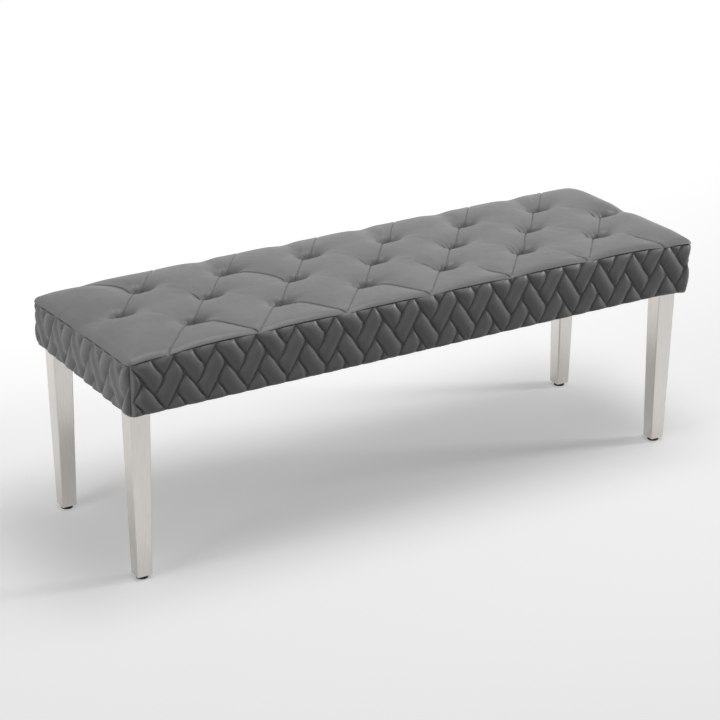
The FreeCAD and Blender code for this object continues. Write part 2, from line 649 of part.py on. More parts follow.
def make_foot_stud(name, sx, sy):
    """Screw of a levelling foot: a tip in the pad, a six-sided collar and the threaded shank."""
    label = f"foot_stud_{name}"
    tip = doc.addObject("Part::Cylinder", f"{label}_tip")
    bind(tip, Radius="sizes.tip_diameter / 2", Height="sizes.pad_height - sizes.pad_floor")
    place(tip, z="sizes.pad_floor + sizes.foot_play")
    collar = doc.addObject("Part::Prism", f"{label}_collar")
    bind(collar, Circumradius="sizes.collar_flats / sqrt(3)",
         Height="sizes.foot_gap - sizes.pad_height - 2 * sizes.foot_play")
    place(collar, z="sizes.pad_height + sizes.foot_play")
    shank = doc.addObject("Part::Cylinder", f"{label}_shank")
    bind(shank, Radius="sizes.stud_diameter / 2", Height="sizes.stud_length")
    place(shank, z="sizes.foot_gap - sizes.foot_play")
    stud = doc.addObject("Part::MultiFuse", label)
    stud.Shapes = [tip, collar, shank]
    keep(place(stud, f"{sx} * {LEG_X}", f"{sy} * {LEG_Y}"), label)


def make_foot_pad(name, sx, sy):
    """Round pad under the stud, turned from one profile."""
    body = new_body(f"foot_pad_{name}")
    profile = new_sketch(body, f"{body.Name}_profile", role="XZ_Plane")
    radius, chamfer = "sizes.pad_diameter / 2", "sizes.pad_chamfer"
    socket = "sizes.tip_diameter / 2 + sizes.socket_play"
    draw_polygon(profile, [("0", "0"), (radius, "0"), (radius, f"sizes.pad_height - {chamfer}"),
                           (f"{radius} - {chamfer}", "sizes.pad_height"), (socket, "sizes.pad_height"),
                           (socket, "sizes.pad_floor"), ("0", "sizes.pad_floor")])
    turned = body.newObject("PartDesign::Revolution", f"{body.Name}_turned")
    turned.Profile = profile
    turned.ReferenceAxis = (profile, ["V_Axis"])
    keep(place(body, f"{sx} * {LEG_X}", f"{sy} * {LEG_Y}"), body.Name)


make_frame()
make_deck()
make_foam()
make_dust_cover()
make_tufted_top()
make_bands()
make_ties()
make_screws()
make_leg_fasteners()
for corner_name, along_x, along_y in CORNERS:
    make_corner_block(corner_name, along_x, along_y)
    make_leg(corner_name, along_x, along_y)
    make_leg_plate(corner_name, along_x, along_y)
    make_leg_plug(corner_name, along_x, along_y)
    make_foot_stud(corner_name, along_x, along_y)
    make_foot_pad(corner_name, along_x, along_y)
doc.recompute()

for item in doc.Objects:
    if "Invalid" in item.State or "Error" in item.State:
        raise RuntimeError(f"{item.Name} did not recompute: {item.State}")
for item in parts:
    if item.Shape.isNull() or not item.Shape.isValid() or not item.Shape.Solids:
        raise RuntimeError(f"{item.Label} has no valid solid")

os.makedirs("parts", exist_ok=True)
for item in parts:
    item.Shape.exportStep(f"parts/{item.Label}.step")
    print(item.Label, len(item.Shape.Solids), "solids", round(item.Shape.Volume), "mm3")
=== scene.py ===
"""Dining bench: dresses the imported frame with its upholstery, fittings, finishes and a studio.

Metres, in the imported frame: X along the bench, Y from front to back, Z up from the floor.
"""
import json
import math

import bpy
import numpy as np
from mathutils import Matrix, Vector


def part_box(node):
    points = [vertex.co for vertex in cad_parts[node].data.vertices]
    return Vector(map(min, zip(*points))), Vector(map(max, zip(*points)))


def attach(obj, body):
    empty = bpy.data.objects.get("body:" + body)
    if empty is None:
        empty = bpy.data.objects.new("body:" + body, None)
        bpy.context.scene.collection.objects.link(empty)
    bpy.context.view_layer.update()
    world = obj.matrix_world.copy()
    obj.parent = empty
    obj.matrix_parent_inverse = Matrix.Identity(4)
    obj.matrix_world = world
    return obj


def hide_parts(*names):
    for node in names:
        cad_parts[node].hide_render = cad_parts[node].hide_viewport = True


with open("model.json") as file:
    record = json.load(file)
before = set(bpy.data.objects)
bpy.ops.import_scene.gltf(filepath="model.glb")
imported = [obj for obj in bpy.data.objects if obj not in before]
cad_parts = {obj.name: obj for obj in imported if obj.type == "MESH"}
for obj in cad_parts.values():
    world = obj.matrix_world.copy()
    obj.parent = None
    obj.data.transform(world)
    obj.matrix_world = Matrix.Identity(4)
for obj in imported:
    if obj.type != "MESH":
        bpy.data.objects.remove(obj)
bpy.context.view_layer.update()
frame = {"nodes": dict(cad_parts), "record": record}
CORNERS = ("front_left", "front_right", "back_left", "back_right")

# Seat box, from the solids
TOP_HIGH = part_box("tufted_top")[1]
HALF_X, HALF_Y = TOP_HIGH.x, TOP_HIGH.y
CREST_DROP = 0.008
CREST_Z = TOP_HIGH.z - CREST_DROP
BAND_LOW, BAND_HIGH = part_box("front_band")
BAND_BASE = BAND_LOW.z
BAND_OUTER_X, BAND_OUTER_Y = BAND_HIGH.x, -BAND_LOW.y
BAND_DEPTH = BAND_HIGH.y - BAND_LOW.y

# Sewn seam between the top and the bands: its height at each corner, its bow between them, and how far
# the rim lies inside the solid and draws in between the corners
SEAM_CORNERS = {(-1, -1): 0.462, (1, -1): 0.460, (-1, 1): 0.446, (1, 1): 0.450}
SEAM_BOW_LONG, SEAM_BOW_POWER, SEAM_BOW_END = {-1: 0.013, 1: 0.005}, 7, 0.0015
RIM_INSET, DRAW_IN = 0.0005, 0.0015

# Crown: how far inside the rim the top reaches its full height, by side
CROWN_END = {-1: 0.105, 1: 0.042}
CROWN_LONG = {-1: 0.075, 1: 0.100}
CROWN_POWER = 2.2
# Steps of the top's mesh, the width of the finer ones at the rim, and the round of its corners
TOP_STEP, RIM_STEP = 0.0015, 0.0007
RIM_FINE, RIM_CORNER = 0.012, 0.013
# Rolled edge inside the seam
EDGE_RISE, EDGE_REACH, EDGE_POWER = 0.0095, 0.0150, 1.9
# Turned edge of the top at the seam, as steps (inset, drop), and the height at which the top closes below
RIM_TUCK = [(0.0004, 0.0006), (0.0018, 0.0010), (0.0070, 0.0012)]
TOP_CLOSES = BAND_HIGH.z - 0.02

# Tufts: how many in the middle row, and the steps of their lattice
TUFT_COUNT = 7
TUFT_X, TUFT_Y = 0.1925, 0.100
# How far each row is sewn to the right of the middle, from the front seam to the back seam
ROW_SHIFT = {-2: 0.006, -1: 0.023, 0: 0.015, 1: 0.008, 2: 0.003}
# Two hollows of a tuft, one in the other, reaching across, to the front and to the back
BOWL = {"depth": 0.014, "power": 1.3, "across": 0.0280, "near": 0.0160, "far": 0.0220}
PIT = {"depth": 0.035, "power": 1.8, "across": 0.0170, "near": 0.0125, "far": 0.0100}
# Fine folds that run into a tuft, and their share of its depth
PINCH_FOLDS, PINCH_SHARE = 9, 0.06
# Pleats: offsets of the ends from the tufts, height of the lip over the other, and depth of the crease
RISING_PLEAT = {"start": (-0.004, -0.004), "end": (-0.010, 0.002), "lip": 0.0007, "crease": 0.0032}
FALLING_PLEAT = {"start": (0.019, -0.008), "end": (-0.019, 0.006), "lip": 0.0006, "crease": 0.0055}
# Share of a falling pleat's length at which its crease begins, by the row it falls to and from the left
SHARP_FROM = {1: (0.0, 0.9, 0.9, 0.9, 0.85, 0.85), 0: (0.7, 0.0, 0.7, 0.7, 0.8, 0.8),
              -1: (1.0, 1.0, 0.9, 0.55, 0.8, 0.8), -2: (0.0, 0.0, 0.0, 0.4, 0.6, 0.3)}
SHARP_REACH = 0.2
# Falling pleats of the back row that run straight to the back seam, counted from the left
STRAIGHT_FROM = 1
# Wide valleys along the pleats and at the ends, and the share of all hollows that is left at the rim
VALLEY_DEPTH, VALLEY_REACH, VALLEY_AT_RIM = 0.0045, 0.025, 0.6
END_VALLEY, END_VALLEY_REACH = 0.004, 0.030
CREASE_REACH, FLAP_REACH, FLAP_EDGE = 0.0014, 0.0045, 0.0010

# Simulation that swells the leather between the sewn lines, and how far each line holds it
SWELL_STEP, SWELL_FRAMES, SWELL_PRESSURE, SWELL_CAP = 0.005, 20, 4.0, 0.005
SWELL_TUCK = [(0.0, 0.01)]
PIN_TUFT, PIN_PLEAT, PIN_RIM, PLEAT_HOLD = 0.022, 0.007, 0.010, 0.5

# Herringbone quilting, as two steps of its slanted lattice
QUILT_X, QUILT_Z = 0.0218, 0.0343
LONG_QUILT = {"start": (-0.254, 0.048), "slope": math.radians(2.3), "puff": 0.0095}
END_QUILT = {"start": (-0.172, -0.007), "slope": math.radians(1.0), "puff": 0.0095}
# Powers that shape a puff across and along, and how round it swells
PUFF_WIDE, PUFF_ENDS, PUFF_ROUND = 2.0, 6.0, 0.62
# Fuller right end of the bench, and its lower front corner
RIGHT_OUT, RIGHT_POWER = 0.011, 8
RIGHT_SAG, RIGHT_SAG_REACH = 0.007, 0.030
# Bands: step of the mesh, eased corners, lean of the face, rolled foot, and how the puffs calm at the edges
BAND_STEP = 0.0016
BAND_CORNER, BAND_CORNER_REACH = 0.0025, 0.0009
BAND_TOP_OUT, BAND_FOOT_OUT = 0.0002, -0.0012
BAND_FOOT_ROLL, BAND_FOOT_STEPS, BAND_FOOT_PUFF, BAND_CALM = 0.0020, 4, 0.25, 0.0026
# Groove of the seam above a band, with finer steps of the mesh
SEAM_CALM, SEAM_FINE, SEAM_STEP = 0.0055, 0.0050, 0.0005
GROOVE, GROOVE_REACH, GROOVE_POWER = 0.0070, 0.0020, 4

# Dust cover and its staples
COVER_GAP, COVER_HEM, COVER_STEP, COVER_LIFT = 0.001, 0.011, 0.010, 0.0004
COVER_EDGE_LINES = 6
COVER_SAG, COVER_RIPPLE = 0.0025, 0.0006
# Ripples of the cloth: radians per metre along and across, and how much they slant
RIPPLE_X, RIPPLE_Y, RIPPLE_SLANT = 41, 33, 9
STAPLES_LONG, STAPLES_END, STAPLE_MARGIN = 22, 5, 0.02
STAPLE_WIDTH, STAPLE_LEG, STAPLE_WIRE = 0.010, 0.006, 0.0010
STAPLE_SIDES, STAPLE_BEND_STEPS = 8, 3

# Leg bolts and levelling screws
BOLT_HEAD, BOLT_SHANK, BOLT_SOCKET, BOLT_SOCKET_DEPTH = 0.0105, 0.006, 0.004, 0.0021
BOLT_EDGE, BOLT_SPACING, BOLT_CHAMFER = 0.015, 0.034, 0.0006
# Flat of a bolt's head as a share of its socket, the dome's share of the head's height, and its steps
BOLT_FLAT, BOLT_DOME, BOLT_DOME_STEPS = 0.62, 0.8, 8
STUD_TIP, STUD_COLLAR, STUD_SHANK, STUD_PLAY = 0.0064, 0.013, 0.008, 0.0001
STUD_PITCH, STUD_THREAD, STUD_TURN_STEPS = 0.00125, 0.0006, 8
STUD_EASE, STUD_CHAMFER, STUD_END = 0.0001, 0.0005, 0.0006
SHARP_EDGE = math.radians(40)
AROUND = np.linspace(0, 2 * math.pi, 48, endpoint=False)

# Foam slab under the top
FOAM_INSET, FOAM_DROP, FOAM_EDGE, FOAM_PINCH, FOAM_STEP = 0.004, 0.012, 0.010, 0.008, 0.008

# Middle range of a noise texture's values
NOISE_LOW, NOISE_HIGH = 0.3, 0.7

# Camera, fitted to the photograph: angles in degrees, lens and sensor in millimetres
CAMERA_PLACE = (-2.23584, -3.65239, 2.04912)
CAMERA_AZIMUTH, CAMERA_ELEVATION, CAMERA_ROLL = -31.189, 22.7095, 0.158
CAMERA_LENS, CAMERA_SENSOR = 111.504, 36.0

# Lamps, aimed at the seat
LAMP_TARGET = (0.0, 0.0, 0.4)
LAMPS = {
    "key": {"place": (0.3, -0.2, 3.0), "size": (1.8, 1.4), "power": 45},
    "side": {"place": (-3.6, -0.6, 0.8), "size": (1.6, 1.0), "power": 42},
    "front": {"place": (4.2, -1.4, 1.6), "size": (0.8, 0.8), "power": 70},
}
WORLD_FILL = 0.10

# Floor: how far behind the bench, and around it, its glow rises from the first to the second strength
FLOOR_HALF = 20.0
FLOOR_LIFT_REACH = ((0.0, 2.2), (2.4, 4.5))
FLOOR_GLOW = (0.28, 0.86)
# Floor's grey where it is seen, and the darker one that it throws light back with
FLOOR_SEEN, FLOOR_THROWN = (0.78, 0.78, 0.78, 1), (0.25, 0.25, 0.25, 1)


# Mesh helpers
def new_piece(name, points, faces, material, body="root"):
    """Smooth mesh object with a material, riding on a body."""
    mesh = bpy.data.meshes.new(name)
    mesh.from_pydata(np.asarray(points).tolist(), [], [list(face) for face in faces])
    mesh.validate()
    mesh.materials.append(material)
    mesh.polygons.foreach_set("use_smooth", [True] * len(mesh.polygons))
    piece = bpy.data.objects.new(name, mesh)
    bpy.context.scene.collection.objects.link(piece)
    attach(piece, body)
    return piece


def grid_quads(rows, columns, wrap=False):
    """Faces of a grid of points, closed round its columns if told."""
    at = np.arange(rows * columns).reshape(rows, columns)
    if wrap:
        at = np.concatenate([at, at[:, :1]], axis=1)
    quads = np.stack([at[:-1, :-1], at[:-1, 1:], at[1:, 1:], at[1:, :-1]], axis=-1)
    return quads.reshape(-1, 4).tolist()


def fan(loop, centre):
    """Triangles from the points of a loop to one centre point."""
    return [[loop[k - 1], here, centre] for k, here in enumerate(loop)]


def lathe(rings):
    """Closed solid through rings of as many points each, capped at both ends."""
    count = len(rings[0])
    points = np.concatenate([*rings, rings[0].mean(axis=0)[None], rings[-1].mean(axis=0)[None]])
    faces = grid_quads(len(rings), count, wrap=True)
    first, last = len(points) - 2, len(points) - 1
    faces += fan(list(range(count))[::-1], first)
    faces += fan(list(range(count * (len(rings) - 1), count * len(rings))), last)
    return points, faces


def ring(radius, height):
    """Points round the Z axis; the radius is a number or one for each point."""
    radius = np.broadcast_to(radius, AROUND.shape)
    heights = np.full(AROUND.shape, height)
    return np.stack([radius * np.cos(AROUND), radius * np.sin(AROUND), heights], axis=1)


def hexagon(flats, turn=0.0):
    """Radius of a hexagon at each point of a ring, from its width across flats."""
    sixth = math.pi / 3
    return flats / 2 / np.cos((AROUND + turn + sixth / 2) % sixth - sixth / 2)


def joined(shapes):
    """Several point and face lists as one."""
    points, faces, count = [], [], 0
    for more_points, more_faces in shapes:
        points.append(more_points)
        faces += [[corner + count for corner in face] for face in more_faces]
        count += len(more_points)
    return np.concatenate(points), faces


# Material helpers
def new_material(name, roughness, metallic=0.0, **sockets):
    """Principled material with its plain numbers set."""
    material = bpy.data.materials.new(name)
    material.use_nodes = True
    shader = material.node_tree.nodes["Principled BSDF"]
    shader.inputs["Roughness"].default_value = roughness
    shader.inputs["Metallic"].default_value = metallic
    for socket, number in sockets.items():
        shader.inputs[socket.replace("_", " ")].default_value = number
    return material


def add_node(material, kind, settings=None, **inputs):
    """New node with its settings and inputs; an input that is a socket is linked."""
    node = material.node_tree.nodes.new(kind)
    for name, value in (settings or {}).items():
        setattr(node, name, value)
    for name, value in inputs.items():
        socket = node.inputs[name.replace("_", " ")]
        if isinstance(value, bpy.types.NodeSocket):
            material.node_tree.links.new(value, socket)
        else:
            socket.default_value = value
    return node


def place_of(material, stretch=(1, 1, 1)):
    """Object coordinates, stretched along the axes."""
    where = add_node(material, "ShaderNodeTexCoord").outputs["Object"]
    return add_node(material, "ShaderNodeMapping", Vector=where, Scale=stretch).outputs["Vector"]


def noise(material, where, scale, detail=3.0, roughness=0.5):
    """Values of a noise texture."""
    node = add_node(material, "ShaderNodeTexNoise", Vector=where, Scale=scale, Detail=detail,
                    Roughness=roughness)
    return node.outputs["Fac"]


def ramp(material, fac, stops):
    """Colour ramp from (place, colour) pairs."""
    node = add_node(material, "ShaderNodeValToRGB", Fac=fac)
    points = node.color_ramp.elements
    while len(points) < len(stops):
        points.new(0.5)
    for point, (place, colour) in zip(points, stops):
        point.position = place
        point.color = (*colour, 1)
    return node.outputs["Color"]


def spread(material, fac, low, high):
    """Noise brought from its usual middle range to a range of numbers."""
    node = add_node(material, "ShaderNodeMapRange", Value=fac, From_Min=NOISE_LOW, From_Max=NOISE_HIGH,
                    To_Min=low, To_Max=high)
    return node.outputs["Result"]


def bump(material, layers):
    """Bump from (height socket, distance, strength) layers, one over the other."""
    normal = None
    for height, distance, strength in layers:
        node = add_node(material, "ShaderNodeBump", Height=height, Distance=distance, Strength=strength)
        if normal:
            material.node_tree.links.new(normal, node.inputs["Normal"])
        normal = node.outputs["Normal"]
    return normal


def wire_up(material, **sockets):
    """Links sockets to the inputs of the material's shader."""
    shader = material.node_tree.nodes["Principled BSDF"]
    for name, socket in sockets.items():
        material.node_tree.links.new(socket, shader.inputs[name.replace("_", " ")])
    return material


def shades(colour, share):
    """A colour a share darker and a share lighter."""
    return tuple(c * (1 - share) for c in colour), tuple(c * (1 + share) for c in colour)


def mottled(material, fac, colour, share, low=NOISE_LOW, high=NOISE_HIGH):
    """Colour that runs from darker to lighter with the values of a texture."""
    dark, light = shades(colour, share)
    return ramp(material, fac, [(low, dark), (high, light)])


# Materials
def make_leather(name, colour, roughness):
    """Smooth grey upholstery leather: fine pebble grain, faint mottling, satin gloss."""
    material = new_material(name, roughness, Specular_IOR_Level=0.32)
    where = place_of(material)
    mottling = noise(material, where, scale=14.0, detail=4.0)
    tone = mottled(material, mottling, colour, share=0.07, low=0.32, high=0.68)
    patches = noise(material, where, scale=60.0)
    gloss = spread(material, patches, low=roughness + 0.02, high=roughness + 0.11)
    pebbles = add_node(material, "ShaderNodeTexVoronoi", {"feature": "SMOOTH_F1"}, Vector=where,
                       Scale=620.0).outputs["Distance"]
    pores = noise(material, where, scale=1500.0, detail=2.0)
    slack = noise(material, where, scale=45.0, detail=2.0)
    normal = bump(material, [(slack, 0.0012, 0.25), (pebbles, 0.0004, 0.16), (pores, 0.0002, 0.10)])
    return wire_up(material, Base_Color=tone, Roughness=gloss, Normal=normal)


def make_brushed_steel(name, colour, roughness):
    """Satin stainless steel, brushed along Z."""
    material = new_material(name, roughness, metallic=1.0, Anisotropic=0.35)
    strokes = noise(material, place_of(material, stretch=(1.0, 1.0, 0.012)), scale=1400.0)
    broad = noise(material, place_of(material, stretch=(1.0, 1.0, 0.15)), scale=40.0, detail=2.0)
    tone = mottled(material, strokes, colour, share=0.06)
    gloss = spread(material, broad, low=roughness - 0.05, high=roughness + 0.06)
    normal = bump(material, [(strokes, 0.0001, 0.12)])
    return wire_up(material, Base_Color=tone, Roughness=gloss, Normal=normal)


def make_plated_steel(name, colour, roughness):
    """Zinc plate or mill steel: soft spangle and fine scratches."""
    material = new_material(name, roughness, metallic=1.0)
    where = place_of(material)
    spangle = noise(material, where, scale=260.0)
    tone = mottled(material, spangle, colour, share=0.12)
    scratches = noise(material, where, scale=900.0)
    gloss = spread(material, scratches, low=roughness - 0.08, high=roughness + 0.1)
    normal = bump(material, [(spangle, 0.0001, 0.15)])
    return wire_up(material, Base_Color=tone, Roughness=gloss, Normal=normal)


def make_wood(name, colour, stretch, grain_scale, roughness):
    """Timber with grain along the stretched axes, duller where it is darker."""
    material = new_material(name, roughness)
    grain = noise(material, place_of(material, stretch), grain_scale, detail=6.0, roughness=0.62)
    dark, light = shades(colour, 0.25)
    tone = ramp(material, grain, [(0.35, dark), (0.52, colour), (0.66, light)])
    gloss = spread(material, grain, low=roughness + 0.08, high=roughness - 0.07)
    normal = bump(material, [(grain, 0.0006, 0.35)])
    return wire_up(material, Base_Color=tone, Roughness=gloss, Normal=normal)


def make_cellular(name, colour, scale, roughness):
    """Foam, felt or cloth: a fine cell pattern with uneven tone."""
    material = new_material(name, roughness)
    where = place_of(material)
    cells = add_node(material, "ShaderNodeTexVoronoi", Vector=where, Scale=scale).outputs["Distance"]
    tone = mottled(material, noise(material, where, scale=30.0, detail=5.0), colour, share=0.18)
    patches = noise(material, where, scale / 3)
    gloss = spread(material, patches, low=roughness - 0.06, high=roughness + 0.06)
    normal = bump(material, [(cells, 0.0006, 0.5)])
    return wire_up(material, Base_Color=tone, Roughness=gloss, Normal=normal)


def make_plastic(name, colour, roughness):
    """Moulded nylon with a fine spark-eroded texture."""
    material = new_material(name, roughness)
    where = place_of(material)
    speckle = noise(material, where, scale=1200.0)
    tone = mottled(material, speckle, colour, share=0.2)
    patches = noise(material, where, scale=200.0)
    gloss = spread(material, patches, low=roughness - 0.06, high=roughness + 0.08)
    normal = bump(material, [(speckle, 0.0002, 0.25)])
    return wire_up(material, Base_Color=tone, Roughness=gloss, Normal=normal)


# Finishes by record slot: colour, then roughness or what the finish's function names
MATERIALS = {
    "top_leather": make_leather("top_leather", (0.194, 0.194, 0.195), 0.35),
    # The bands' leather is the top's leather made a little darker: painted shade for the sides of the seat,
    # which face away from the lamps.
    "band_leather": make_leather("band_leather", (0.180, 0.180, 0.181), 0.35),
    "leg_steel": make_brushed_steel("leg_steel", (0.70, 0.67, 0.635), 0.16),
    "plate_steel": make_plated_steel("plate_steel", (0.42, 0.42, 0.42), 0.45),
    "zinc_steel": make_plated_steel("zinc_steel", (0.62, 0.63, 0.65), 0.32),
    "black_nylon": make_plastic("black_nylon", (0.018, 0.018, 0.019), 0.5),
    "frame_timber": make_wood("frame_timber", (0.46, 0.30, 0.16), (0.12, 0.12, 1.0), 190.0, 0.62),
    "plywood": make_wood("plywood", (0.52, 0.37, 0.21), (0.1, 1.0, 1.0), 120.0, 0.62),
    "foam": make_cellular("foam", (0.72, 0.66, 0.45), 900.0, 0.9),
    "dust_cloth": make_cellular("dust_cloth", (0.020, 0.020, 0.021), 700.0, 0.92),
    "tie_twine": make_cellular("tie_twine", (0.55, 0.50, 0.40), 1500.0, 0.9),
}


def dress_nodes():
    """Gives every carried-over CAD node the finish of its record slot."""
    for row in frame["record"]["subparts"]:
        for slot in frame["nodes"][row["node"]].material_slots:
            slot.material = MATERIALS[row["material_slot"]]


# Tufted top
def sewn(step_x, row, beside=(0.0, 0.0)):
    """A spot of the tufting lattice, in steps from the middle, as it was sewn."""
    return (TUFT_X * step_x + ROW_SHIFT[row] + beside[0], TUFT_Y * row + beside[1])


def tuft_spots():
    """Centres of the tufts: seven in the middle row and six in each outer row."""
    spots = []
    for row, count in ((-1, TUFT_COUNT - 1), (0, TUFT_COUNT), (1, TUFT_COUNT - 1)):
        spots += [sewn(k - (count - 1) / 2, row) for k in range(count)]
    return spots


def pleat_lines():
    """Pleats along both diagonals and on to the long seams."""
    lines = []
    middle = (TUFT_COUNT - 2) / 2
    for row in (-2, -1, 0, 1):
        for k in range(TUFT_COUNT - 1):
            x = k - middle
            near, far = (x, x + 0.5) if row % 2 else (x - 0.5, x)
            lines.append(pleat((near, row), (far, row + 1), RISING_PLEAT, 0.0, 0.0, flat_end=row == 1))
            near, far = (x, x - 0.5) if row % 2 else (x + 0.5, x)
            sharp_from = valley_from = SHARP_FROM[row][k]
            if row == 1 and k >= STRAIGHT_FROM:
                far, valley_from = near, 0.0
            lines.append(pleat((far, row + 1), (near, row), FALLING_PLEAT, sharp_from, valley_from))
    return lines


def pleat(start, end, kind, sharp_from, valley_from, flat_end=False):
    """One pleat between two spots of the lattice.

    sharp_from and valley_from are the shares of its length at which its crease and its valley begin.
    A valley with a flat end fades out towards it.
    """
    ends = []
    for spot, offset in ((start, kind["start"]), (end, kind["end"])):
        ends.append(sewn(*spot) if abs(spot[1]) == 2 else sewn(*spot, beside=offset))
    return {"ends": ends, "lip": kind["lip"], "crease": kind["crease"], "sharp_from": sharp_from,
            "valley_from": valley_from, "flat_end": flat_end}


def from_line(x, y, start, end):
    """Distance of points from a stretch of line, their side of it, and their share along it."""
    step_x, step_y = end[0] - start[0], end[1] - start[1]
    length = math.hypot(step_x, step_y)
    along = ((x - start[0]) * step_x + (y - start[1]) * step_y) / length
    aside = ((y - start[1]) * step_x - (x - start[0]) * step_y) / length
    beyond = np.maximum(np.maximum(-along, along - length), 0)
    return np.hypot(aside, beyond), aside, np.clip(along / length, 0, 1)


def tuft_hollows(x, y):
    """Depth of the pulled-in tufts, with fine folds that run into each."""
    depth = np.zeros_like(x)
    for k, (centre_x, centre_y) in enumerate(tuft_spots()):
        off_x, off_y = x - centre_x, y - centre_y
        for form in (BOWL, PIT):
            reach_y = np.where(off_y < 0, form["near"], form["far"])
            away = np.hypot(off_x / form["across"], off_y / reach_y)
            folds = PINCH_SHARE * np.cos(PINCH_FOLDS * np.arctan2(off_y, off_x) + k) * np.minimum(away, 1)
            depth += form["depth"] * np.exp(-away ** form["power"]) * (1 + folds)
    return depth


def pleat_valleys(x, y):
    """Depth of the wide valleys along the pleats and towards the ends."""
    depth = np.zeros_like(x)
    for line in pleat_lines():
        away, _, share = from_line(x, y, *line["ends"])
        valley = VALLEY_DEPTH * np.exp(-(away / VALLEY_REACH) ** 2) * (1 - line["flat_end"] * share)
        depth = np.maximum(depth, sharpness(share, line["valley_from"]) * valley)
    for end in (-1, 1):
        away, _, _ = from_line(x, y, sewn(end * (TUFT_COUNT - 1) / 2, 0), (end * HALF_X, 0.0))
        depth = np.maximum(depth, END_VALLEY * np.exp(-(away / END_VALLEY_REACH) ** 2))
    return depth


def sharpness(share, sharp_from):
    """How sharp a pleat is at a share of its length."""
    return np.clip((share - sharp_from) / SHARP_REACH + (sharp_from == 0), 0, 1)


def creases(x, y):
    """Depth of the folded lines along the pleats, one lip of each standing over the other."""
    depth, lips = np.zeros_like(x), np.zeros_like(x)
    for line in pleat_lines():
        away, aside, share = from_line(x, y, *line["ends"])
        sharp = sharpness(share, line["sharp_from"])
        depth = np.maximum(depth, sharp * line["crease"] * np.exp(-(away / CREASE_REACH) ** 2))
        lip = sharp * line["lip"] * np.exp(-away / FLAP_REACH) * np.tanh(aside / FLAP_EDGE)
        lips = np.where(np.abs(lip) > np.abs(lips), lip, lips)
    return depth - lips


def rim_lines(half, step=TOP_STEP):
    """Places from rim to rim along one axis, closer together near the rims."""
    fine = np.arange(0, RIM_FINE, RIM_STEP)
    inner = half - RIM_FINE
    even = np.linspace(-inner, inner, round(2 * inner / step) + 1)
    return np.concatenate([fine - half, even, (half - fine)[::-1]])


def crown(place, half, widths):
    """Share of the full height across one axis, with its own width of crown on either side."""
    width = np.where(place < 0, widths[-1], widths[1])
    return 1 - np.abs(1 - np.minimum((half - np.abs(place)) / width, 1)) ** CROWN_POWER


def seam_long(x, side):
    """Height of the seam along a long side: -1 is the front and 1 the back."""
    left, right = SEAM_CORNERS[-1, side], SEAM_CORNERS[1, side]
    share = x / HALF_X
    bow = SEAM_BOW_LONG[side] * (1 - np.abs(share) ** SEAM_BOW_POWER)
    return (left + right) / 2 + (right - left) / 2 * share + bow


def seam_end(y, side):
    """Height of the seam across an end: -1 is the left and 1 the right."""
    front, back = SEAM_CORNERS[side, -1], SEAM_CORNERS[side, 1]
    share = y / HALF_Y
    return (front + back) / 2 + (back - front) / 2 * share + SEAM_BOW_END * (1 - share ** 2)


def draw_long(x):
    """How far a long side draws in between its corners."""
    return RIM_INSET + DRAW_IN * (1 - (x / HALF_X) ** 2)


def draw_end(y):
    """How far an end draws in between its corners."""
    return RIM_INSET + DRAW_IN * (1 - (y / HALF_Y) ** 2)


def grown(x):
    """Place along the bench, with its fuller right end."""
    return x + RIGHT_OUT * np.clip(x / HALF_X, 0, 1) ** RIGHT_POWER


def seam_near(x, y):
    """Height of the seam nearest to each point, blended towards the corners."""
    long_side = np.where(y < 0, seam_long(x, -1), seam_long(x, 1))
    end_side = np.where(x < 0, seam_end(y, -1), seam_end(y, 1))
    tiny = 1e-6
    to_long, to_end = HALF_Y - np.abs(y) + tiny, HALF_X - np.abs(x) + tiny
    return (long_side / to_long + end_side / to_end) / (1 / to_long + 1 / to_end)


def lattice_y(y):
    """Place across the bench in the lattice, whose outer steps are stretched to the seams."""
    places = [-HALF_Y, -TUFT_Y, TUFT_Y, HALF_Y]
    return np.interp(y, places, [-2 * TUFT_Y, -TUFT_Y, TUFT_Y, 2 * TUFT_Y])


def lift_of(x, y):
    """Share of the full height of the crown."""
    return crown(x, HALF_X, CROWN_END) * crown(y, HALF_Y, CROWN_LONG)


def sewn_surface(x, y):
    """The top from seam to seam as sewn, before it swells and without its creases."""
    seam, lift = seam_near(x, y), lift_of(x, y)
    hollow = tuft_hollows(x, lattice_y(y)) + pleat_valleys(x, lattice_y(y))
    inside = np.minimum(HALF_X - np.abs(x), HALF_Y - np.abs(y))
    rolled = EDGE_RISE * (1 - (1 - np.minimum(inside / EDGE_REACH, 1)) ** EDGE_POWER)
    crest = (CREST_Z - seam - EDGE_RISE) * lift
    z = seam + rolled + crest - hollow * np.minimum(1, VALLEY_AT_RIM + lift)
    x, y = round_corners(x, y)
    return np.stack([grown(x) - draw_end(y) * x / HALF_X, y - draw_long(x) * y / HALF_Y, z], axis=-1)


def held_share(x, y):
    """How firmly each point is held while the leather swells: 1 at the tufts, the pleats and the rim."""
    held = np.exp(-(np.minimum(HALF_X - np.abs(x), HALF_Y - np.abs(y)) / PIN_RIM) ** 2)
    for spot_x, spot_y in tuft_spots():
        away = np.hypot(x - spot_x, lattice_y(y) - spot_y)
        held = np.maximum(held, np.exp(-(away / PIN_TUFT) ** 2))
    for line in pleat_lines():
        away, _, _ = from_line(x, lattice_y(y), *line["ends"])
        held = np.maximum(held, PLEAT_HOLD * np.exp(-(away / PIN_PLEAT) ** 2))
    return held


